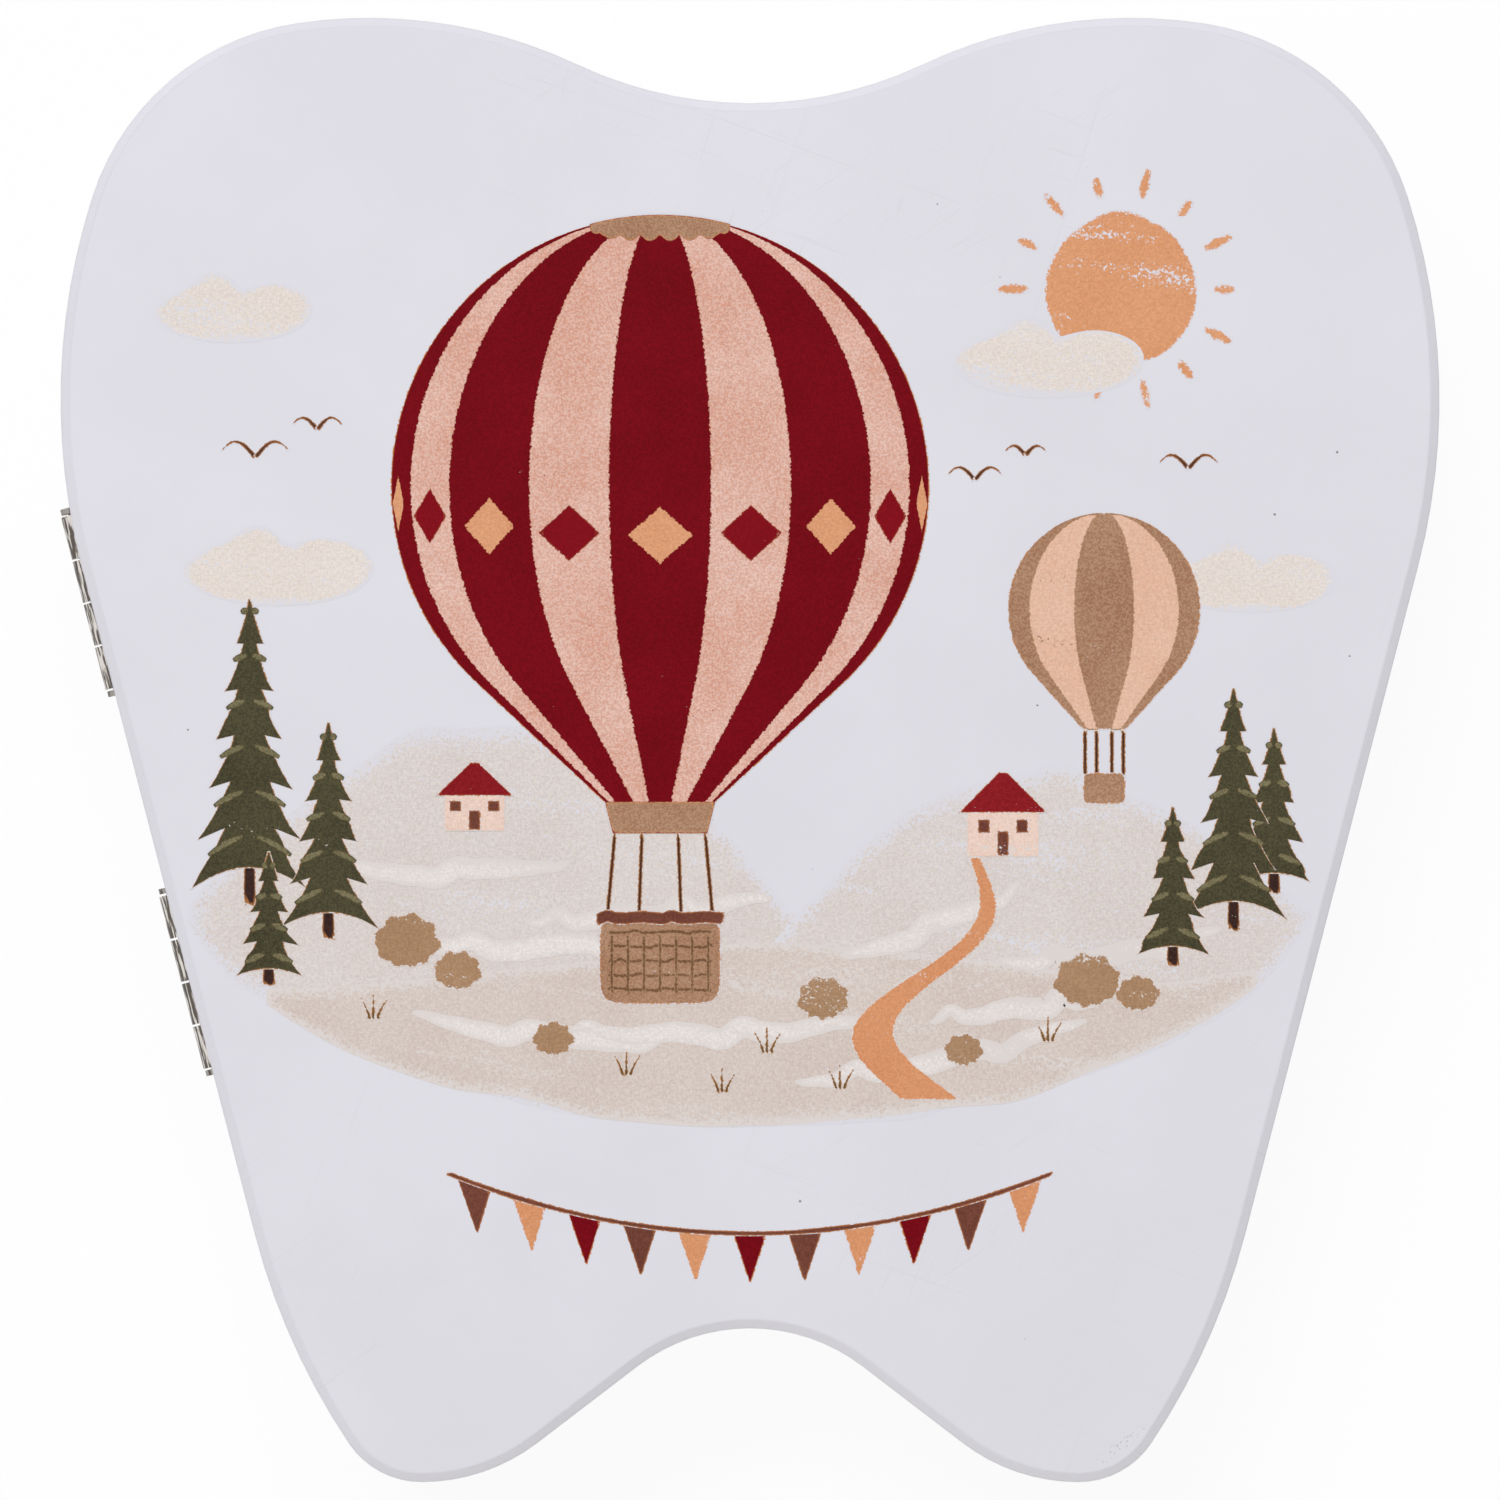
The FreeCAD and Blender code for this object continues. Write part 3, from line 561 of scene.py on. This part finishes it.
print_film("back_hills", 1, sand_ink, [hill(-50, 16, 33, 0.92, 1)])
print_film("middle_hills", 2, sand_ink, [hill(-10, 50, 28, 1.1, 2)])
print_film("front_hill", 3, dune_ink, [hill(-43, 45, 15, 1.0, 3)])
slopes = []
for k, (x0, x1, lift, rise) in enumerate((
        (-38, -16, 15, 7), (-32, -8, 11, 5), (-20, 2, 16, 4), (8, 24, 14, 4), (22, 42, 12, -5),
        (16, 36, 8, -2), (-30, -6, 5, 2), (4, 30, 3.5, 1), (-16, 12, 7, 1.5))):
    share = np.linspace(0, 1, 50)
    x = x0 + (x1 - x0) * share
    y = foot(x) + lift + rise * share + waver(share, 0.3, k)
    slopes.append(stroke(x, y, 0.3 + 1.7 * np.sin(np.pi * share) ** 0.6))
print_film("slope_strokes", 4, cream_ink, slopes)

# %% [markdown]
# A peach sun with short rays, a few long clouds and birds fill the sky. The clouds are rounded
# films whose reach swells in lobes on the upper side only, which leaves them flat below.

# %% Sky
def round_reach(size, seed, unsteady=0.02):
    """Circle with an unsteady edge."""
    def reach(turn):
        edge = waver(turn.ravel() / (2 * np.pi), unsteady, seed)
        return size * (1 + edge.reshape(turn.shape))
    return reach


def cloud_reach(wide, high):
    """Ellipse with lobes above: the swell follows the sine where that is positive."""
    def reach(turn):
        oval = 1 / np.hypot(np.cos(turn) / wide, np.sin(turn) / high)
        return oval * (1 + 0.3 * np.clip(np.sin(turn), 0, 1) * np.cos(3.2 * turn - 0.4))
    return reach


SUN_X, SUN_Y = 33.0, 41.0
rays = []
for k, turn in enumerate(np.linspace(0, 2 * np.pi, 14, endpoint=False)):
    far = np.linspace(8.2, 10.2 + 0.8 * (k % 2), 14)
    width = 0.25 + 0.75 * np.sin(np.linspace(0.3, 2.9, 14))
    rays.append(stroke(SUN_X + far * np.cos(turn), SUN_Y + far * np.sin(turn), width))
sun_ink = mix_ink("sun_ink", chart(226, 163, 120), chart(217, 150, 107), PAINT, 0.35, 0.7, 0.1)
print_film("sun", 1, sun_ink, [rounded(SUN_X, SUN_Y, round_reach(6.8, 4)), *rays])
cloud_ink = mix_ink("cloud_ink", chart(228, 217, 208), chart(234, 225, 218), PAINT, 1.2, 0.66, 0.0)
print_film("clouds", 2, cloud_ink, [
    rounded(26.5, 34.5, cloud_reach(8.5, 3.2)), rounded(44.5, 15.0, cloud_reach(7.5, 2.8)),
    rounded(-46.0, 39.0, cloud_reach(7.0, 2.8)), rounded(-42.0, 16.0, cloud_reach(8.5, 3.2))])
BIRDS = ((-44, 26, 3.0), (-38.5, 28.5, 2.2), (20, 24, 2.4), (24.5, 26.2, 1.8), (39, 25, 2.6))
birds = []
for x, y, size in BIRDS:
    for side in (-1, 1):
        share = np.linspace(0, 1, 20)
        wing_y = y + size * (0.55 * np.sin(np.pi * share * 0.8) - 0.12 * share)
        birds.append(stroke(x + side * size * share, wing_y, 0.5 - 0.34 * share))
bird_ink = mix_ink("bird_ink", chart(58, 38, 35), chart(80, 54, 47), PAINT, 0.1)
print_film("birds", 3, bird_ink, birds)

# %% [markdown]
# The large crimson balloon is the heart of the picture. A balloon's envelope is a circle that runs
# into two straight lines towards the mouth; where they touch follows from the tangent to a circle.
# The gores are stripes between meridians, which seen from the side lie at sines of equal angles.

# %% Balloons
def envelope(y, radius, mouth_y, mouth_half):
    """Half widths and heights down the side: a circle to the touching point, then a line."""
    drop = y - mouth_y
    reach = np.hypot(drop, mouth_half)
    last = np.pi - np.arctan2(mouth_half, drop) - np.arccos(radius / reach)
    turn = np.linspace(0.06, last, 90)
    line = np.linspace(0, 1, 30)[1:]
    touch_half, touch_y = radius * np.sin(last), y + radius * np.cos(last)
    half = np.concatenate((radius * np.sin(turn), touch_half + (mouth_half - touch_half) * line))
    level = np.concatenate((y + radius * np.cos(turn), touch_y + (mouth_y - touch_y) * line))
    return half, level


def gore(x, half, level, left, right):
    """Stripe between two shares of the half width."""
    return ruled(np.stack((x + left * half, level), 1), np.stack((x + right * half, level), 1), 11)


def ropes(x, top_half, top, low_half, low):
    """Four straight strokes from the mouth to the basket."""
    share = np.linspace(0, 1, 12)
    spread, level = top_half + (low_half - top_half) * share, top + (low - top) * share
    return [stroke(x + k * spread, level, 0.42) for k in (-1, -0.4, 0.4, 1)]


BALLOON_X, BALLOON_Y, BALLOON_RADIUS, MOUTH_Y, MOUTH_HALF = -8.0, 23.5, 24.0, -5.0, 4.6
SEAM = 0.012
half, level = envelope(BALLOON_Y, BALLOON_RADIUS, MOUTH_Y, MOUTH_HALF)
meridians = np.sin(np.radians(np.linspace(-90, 90, 10)))
print_film("crimson_envelope", 5, crimson_ink, [gore(BALLOON_X, half, level, -1, 1)])
print_film("pink_gores", 6, pink_ink, [
    gore(BALLOON_X, half[4:], level[4:], meridians[k] + SEAM, meridians[k + 1] - SEAM)
    for k in (1, 3, 5, 7)])
print("envelope from", round(level.min(), 1), "to", round(level.max(), 1), "mm")

# %% [markdown]
# A row of lozenges runs round the belly of the balloon, one on each gore and narrower towards the
# sides. A scalloped cap closes the top, and a band with four ropes hangs from the mouth.

# %% Balloon trimmings
middles = np.sin(np.radians(np.linspace(-80, 80, 9)))
widths = np.diff(meridians) * BALLOON_RADIUS
lozenges = []
for k in range(9):
    x = BALLOON_X + middles[k] * BALLOON_RADIUS * 0.985
    y = BALLOON_Y - 1.0 - 3.4 * np.sqrt(1 - middles[k] ** 2)
    wide = 0.36 * widths[k]
    lozenges.append(four_sided((x, y + 2.6), (x - wide, y), (x, y - 2.6), (x + wide, y)))
band_ink = mix_ink("band_ink", chart(226, 165, 124), chart(216, 150, 110), CRIMSON, 0.2, 0.8, 0.1)
print_film("peach_lozenges", 7, band_ink, lozenges[0::2])
rose_ink = mix_ink("rose_ink", chart(134, 12, 26), CRIMSON, chart(225, 180, 164), 0.16, 0.88, 0.2)
print_film("rose_lozenges", 7, rose_ink, lozenges[1::2])
CAP_SHARE = 0.26
cap = np.linspace(-1, 1, 60)
cap_y = BALLOON_Y + BALLOON_RADIUS * np.sqrt(1 - (CAP_SHARE * cap) ** 2)
cap_x = BALLOON_X + CAP_SHARE * BALLOON_RADIUS * cap
scallop = cap_y - 0.15 - (1.5 + 0.6 * np.abs(np.sin(3.5 * np.pi * cap))) * np.sqrt(1.01 - cap**2)
crown_ink = mix_ink("crown_ink", chart(184, 146, 118), chart(158, 114, 86), chart(150, 80, 66),
                    0.12)
print_film("tan_crown", 7, crown_ink, [
    ruled(np.stack((cap_x, cap_y + 0.1), 1), np.stack((cap_x, scallop), 1)),
    four_sided((BALLOON_X - 4.9, MOUTH_Y + 0.4), (BALLOON_X - 4.2, MOUTH_Y - 2.4),
               (BALLOON_X + 4.2, MOUTH_Y - 2.4), (BALLOON_X + 4.9, MOUTH_Y + 0.4))])
print_film("balloon_ropes", 5, bark_ink, ropes(BALLOON_X, 4.0, MOUTH_Y - 2.2, 4.7, -15.0))

# %% [markdown]
# The basket is wicker: a rounded box shape whose reach is that of a superellipse, with darker rows
# of weave painted over it and a plaited rim. A smaller, paler balloon far off uses the same
# functions.

# %% Baskets and the far balloon
def box_reach(wide, high):
    """Superellipse of the sixth power: nearly a rectangle with rounded corners."""
    def reach(turn):
        across, along = np.abs(np.cos(turn) / wide), np.abs(np.sin(turn) / high)
        return (across**6 + along**6) ** (-1 / 6)
    return reach


def wicker(x, y, wide, high, rows, columns):
    """Strokes of the weave: wavering rows, and short uprights between them."""
    share = np.linspace(0, 1, 40)
    made = []
    for k in range(rows):
        row_y = y - high + 2 * high * (k + 0.7) / rows
        made.append(stroke(x + wide * (2 * share - 1) * 0.94, row_y + waver(share, 0.07, k), 0.34))
    for k in range(columns):
        column_x = x - wide + 2 * wide * (k + 0.5) / columns
        made.append(stroke(np.full(12, column_x), y + high * np.linspace(-0.85, 0.8, 12), 0.3))
    return made


BASKET_Y = -18.6
print_film("baskets", 6, tan_ink, [rounded(BALLOON_X, BASKET_Y, box_reach(5.4, 4.0))])
WICKER = chart(172, 135, 103)
weave_ink = mix_ink("weave_ink", chart(128, 92, 66), chart(112, 78, 56), WICKER, 0.14, 0.75, 0.0)
print_film("basket_weave", 7, weave_ink, wicker(BALLOON_X, BASKET_Y - 0.4, 5.0, 3.2, 5, 7))
share = np.linspace(0, 1, 40)
print_film("basket_rim", 8, brown_ink, [
    stroke(BALLOON_X + 5.7 * (2 * share - 1), BASKET_Y + 3.7 + waver(share, 0.08, 5), 1.15)])
FAR_X, FAR_Y = 31.5, 12.5
far_half, far_level = envelope(FAR_Y, 8.6, 1.8, 1.9)
print_film("far_envelope", 5, tan_ink, [
    gore(FAR_X, far_half, far_level, -1, 1), rounded(FAR_X, -3.4, box_reach(1.9, 1.4), 17)])
far_ink = mix_ink("far_ink", chart(233, 195, 172), chart(226, 180, 152), WICKER, 0.2, 0.8, 0.1)
print_film("far_gores", 6, far_ink, [
    gore(FAR_X, far_half[6:], far_level[6:], low, high)
    for low, high in ((-0.78, -0.3), (0.3, 0.78))])
print_film("far_ropes", 4, bark_ink, ropes(FAR_X, 1.7, 1.8, 1.7, -2.4))

# %% [markdown]
# Firs stand at both sides. A fir is one ruled film: its half width shrinks towards the tip and
# jumps back out at each tier of boughs, a saw tooth on a cone. Lighter strokes droop along the
# boughs.

# %% Firs
DROOP = 0.07


def fir(x, y, high, wide, tiers, seed):
    """Cone times a saw tooth across, and a parabola that lets the boughs droop to both sides."""
    share = np.linspace(0, 1, 40 * tiers)
    tier = (share * tiers) % 1
    half = wide * (1 - share) ** 0.8 * (1 - 0.55 * tier**0.7) + 0.12
    level = y + high * share
    left = np.stack((x - half * (1 + waver(share, 0.05, seed)), level), 1)
    right = np.stack((x + half * (1 + waver(share, 0.05, seed + 2)), level), 1)
    film = ruled(left, right, 17)
    film[..., 1] -= DROOP * (film[..., 0] - x) ** 2
    return film


def boughs(x, y, high, wide, tiers):
    """Pairs of strokes from the stem down along each tier."""
    made = []
    for k in range(tiers):
        low = (k + 0.15) / tiers
        out = np.linspace(0.12, 0.72, 14) * wide * (1 - low) ** 0.8
        for side in (-1, 1):
            level = y + high * (low + 0.1) - 0.25 * out - DROOP * out**2
            width = 0.2 + 0.4 * np.sin(np.linspace(0.2, 2.9, 14))
            made.append(stroke(x + side * out, level, width))
    return made


FIRS = ((-44.5, -10.5, 24, 5.2, 6), (-37.5, -14.5, 17, 4.2, 5), (-42.8, -19.5, 10.5, 3.0, 4),
        (46.6, -11.0, 13, 3.4, 4), (43.0, -13.5, 19, 4.6, 5), (37.6, -17.5, 12.5, 3.4, 4))
print_film("fir_trunks", 5, bark_ink, [
    stroke(np.full(10, x), y + high * np.linspace(-0.14, 0.3, 10), np.linspace(1.2, 0.7, 10))
    for x, y, high, wide, tiers in FIRS])
print_film("firs", 6, olive_ink, [fir(*place, seed) for seed, place in enumerate(FIRS)])
strokes = [(6.07 + 0.8 * k / len(FIRS), line)
           for k, place in enumerate(FIRS) for line in boughs(*place)]
lifts, lines = zip(*strokes)
print_film("fir_boughs", lifts, moss_ink, lines, 0.0)

# %% [markdown]
# A winding path that widens towards the viewer, two small houses, round shrubs and tufts of grass
# fill the hills.

# %% Path and houses
share = np.linspace(0, 1, 90)
path_x = 20.0 - 7.0 * share + 5.0 * np.sin(2.2 * np.pi * share) * (0.4 + 0.6 * share)
path_y, path_half = -9.5 - 21.6 * share, 0.5 + 2.1 * share**1.3
print_film("path", 5, peach_ink, [
    ruled(np.stack((path_x - path_half, path_y), 1), np.stack((path_x + path_half, path_y), 1))])
HOUSES = ((22.5, -9.5, 3.2, 4.2), (-24.5, -7.2, 2.7, 3.4))
wall_ink = mix_ink("wall_ink", chart(240, 214, 200), chart(233, 203, 188), SAND, 0.18, 0.8, 0.2)
print_film("house_walls", 6, wall_ink, [
    four_sided((x - wide, y + high), (x - wide, y), (x + wide, y), (x + wide, y + high))
    for x, y, wide, high in HOUSES])
roof_ink = mix_ink("roof_ink", chart(146, 30, 36), chart(128, 18, 28), SAND, 0.14, 0.84, 0.4)
print_film("house_roofs", 7, roof_ink, [
    four_sided((x - 0.35, y + 1.8 * high), (x - wide - 0.8, y + high - 0.3),
               (x + wide + 0.8, y + high - 0.3), (x + 0.35, y + 1.8 * high))
    for x, y, wide, high in HOUSES])
DOOR_HALF, OPENINGS = 0.55, ((0.0, 0.02, 0.55), (-1.7, 0.5, 0.8), (1.7, 0.5, 0.8))
print_film("house_doors", 8, brown_ink, [
    four_sided((x + at - DOOR_HALF, y + high * top), (x + at - DOOR_HALF, y + high * low),
               (x + at + DOOR_HALF, y + high * low), (x + at + DOOR_HALF, y + high * top))
    for x, y, wide, high in HOUSES for at, low, top in OPENINGS])

# %% Shrubs and grass
def shrub_reach(size, seed):
    """Circle with nine small lobes, flattened below."""
    def reach(turn):
        flat = np.where(np.sin(turn) < 0, 1 / (1 - 0.6 * np.sin(turn)), 1.0)
        return size * (1 + 0.06 * np.cos(9 * turn + seed)) * flat
    return reach


SHRUBS = ((-30.5, -17.5, 3.0), (-26.0, -20.0, 2.2), (6.5, -22.5, 2.4), (30.0, -21.0, 3.0),
          (34.5, -22.0, 2.0), (-17.5, -26.0, 1.9), (19.0, -27.0, 1.8))
shrub_ink = mix_ink("shrub_ink", chart(178, 142, 110), chart(163, 127, 95), SAND, 0.3, 0.76, 0.3)
print_film("shrubs", 6, shrub_ink, [
    rounded(x, y, shrub_reach(size, k), 25) for k, (x, y, size) in enumerate(SHRUBS)])
TUFTS = ((-11.0, -29.0), (1.5, -27.0), (8.0, -30.2), (-33.5, -24.0), (26.5, -26.0), (-2.5, -30.5))
rise = np.linspace(0, 1, 12)
tufts = []
for x, y in TUFTS:
    for lean in (-0.8, 0.0, 0.9):
        blade_x, blade_y = x + lean * (0.4 + rise**1.5), y + (2.4 - 0.6 * abs(lean)) * rise
        tufts.append(stroke(blade_x, blade_y, 0.42 - 0.26 * rise))
print_film("grass_tufts", 6, olive_ink, tufts)

# %% [markdown]
# Under the hills hangs a garland: a thin brown line that sags like a chain, with small pennants
# tied along it. It closes the picture between the roots of the tooth.

# %% Garland
GARLAND_HALF, GARLAND_TOP, GARLAND_SAG = 27.0, -37.6, 5.4


def garland(share):
    """Sagging line: a parabola between two ends."""
    x = GARLAND_HALF * (2 * share - 1)
    return x, GARLAND_TOP - GARLAND_SAG * (1 - (x / GARLAND_HALF) ** 2)


share = np.linspace(0, 1, 140)
line_x, line_y = garland(share)
print_film("garland_line", 2, brown_ink, [stroke(line_x, line_y, 0.5 + waver(share, 0.03, 2))])
pennants = []
for k in range(11):
    (x0, y0), (x1, y1) = (garland(np.array((k + edge) / 11)) for edge in (0.18, 0.82))
    tip_x = (x0 + x1) / 2 + 0.25 * (y0 - y1)
    tip_y = (y0 + y1) / 2 - 4.4
    pennants.append(four_sided((x0, y0), (tip_x - 0.12, tip_y), (tip_x + 0.12, tip_y), (x1, y1)))
flag_ink = mix_ink("flag_ink", chart(222, 156, 112), chart(213, 143, 100), PAINT, 0.2, 0.8, 0.3)
print_film("brown_pennants", 1, brown_ink, pennants[0::3])
print_film("peach_pennants", 1, flag_ink, pennants[1::3])
print_film("crimson_pennants", 1, crimson_ink, pennants[2::3])

# %% [markdown]
# The box lies on a white floor under a white sky. Both look plain white to the camera and in
# reflections, while the floor still takes part of the box's shadow.

# %% Floor
def white_for_viewers(tree):
    """One where a ray comes from the camera, a reflection or a clear body, and zero elsewhere."""
    path = put(tree, "LightPath")
    seen = calc(tree, "MAXIMUM", path["Is Camera Ray"], path["Is Glossy Ray"])
    return calc(tree, "MAXIMUM", seen, path["Is Transmission Ray"])


floor_mesh = bpy.data.meshes.new("floor")
FLOOR_HALF, FLOOR_HEIGHT, WHITE_SHARE = 3.0, -0.02 * MM, 0.9
corners = [(x * FLOOR_HALF, y * FLOOR_HALF, FLOOR_HEIGHT)
           for x, y in ((-1, -1), (1, -1), (1, 1), (-1, 1))]
floor_mesh.from_pydata(corners, [], [(0, 1, 2, 3)])
floor = bpy.data.objects.new("floor", floor_mesh)
bpy.context.scene.collection.objects.link(floor)
floor_white, tree, place = new_material("floor_white")
cloudy = ramp(tree, grain(tree, place, 3), 0.3, 0.7, 0.95, 0.97)
whitish = put(tree, "CombineColor", {0: cloudy, 1: cloudy, 2: cloudy})[0]
lit = put(tree, "BsdfPrincipled", {"Base Color": whitish, "Roughness": 0.9,
                                   "Specular IOR Level": 0.0})[0]
plain = put(tree, "Emission", {"Color": (1, 1, 1, 1), "Strength": 1.0})[0]
share = calc(tree, "MULTIPLY", white_for_viewers(tree), WHITE_SHARE)
show(tree, put(tree, "MixShader", {0: share, 1: lit, 2: plain})[0])
floor_mesh.materials.append(floor_white)
print("floor", 2 * FLOOR_HALF, "m wide")

# %% [markdown]
# The light is soft. A wide lamp stands behind the crown and a little to the left, which brightens
# the upper edges and leaves the lower ones grey. A dim, warmer one stands low on the side of the
# roots, as a white card would, and the sky fills the rest.

# %% Sky and lamps
SKY_LIGHT = 0.54
sky = bpy.data.worlds.new("studio_sky")
sky.use_nodes = True
sky.node_tree.nodes.clear()
tree = sky.node_tree
strength = calc(tree, "MULTIPLY_ADD", white_for_viewers(tree), 1 - SKY_LIGHT, SKY_LIGHT)
dome = put(tree, "Background", {"Color": (1, 1, 1, 1), "Strength": strength})[0]
put(tree, "OutputWorld", {"Surface": dome})
bpy.context.scene.world = sky


def soft_lamp(name, place, wide, high, watts, colour):
    """A rectangle of light that looks at the middle of the box."""
    data = bpy.data.lights.new(name, "AREA")
    data.shape, data.size, data.size_y = "RECTANGLE", wide, high
    data.energy, data.color = watts, colour
    lamp = bpy.data.objects.new(name, data)
    lamp.location = place
    lamp.rotation_euler = (-lamp.location).to_track_quat("-Z", "Y").to_euler()
    bpy.context.scene.collection.objects.link(lamp)
    print(name, watts, "W")


soft_lamp("window_lamp", (-0.33, 1.0, 1.74), 1.3, 0.77, 20.6, (0.975, 0.975, 1.0))
soft_lamp("white_card", (0.0, -1.1, 0.35), 0.9, 0.4, 1.7, (1.0, 0.93, 0.8))

# %% [markdown]
# The camera looks straight down on the middle of the tooth through a long lens, so that the sides
# of the box stay hidden. The frame is square: the lens and the height are set so that the rim of
# the lid, which is widest just below its eased edge, fills the picture as it should.

# %% Camera
SENSOR, LENS, FRAME_WIDTH, RIM_DROP = 36.0, 175.7, 133.58 * MM, 0.8 * MM
camera_data = bpy.data.cameras.new("camera")
camera_data.sensor_width, camera_data.lens = SENSOR, LENS
camera_data.clip_start, camera_data.clip_end = 0.01, 20
camera = bpy.data.objects.new("camera", camera_data)
camera.location = (0, 0, lid_top - RIM_DROP + FRAME_WIDTH * LENS / SENSOR)
bpy.context.scene.collection.objects.link(camera)
bpy.context.scene.camera = camera
bpy.context.scene.view_settings.view_transform = "Standard"
print("camera at", round(camera.location.z, 4), "m")
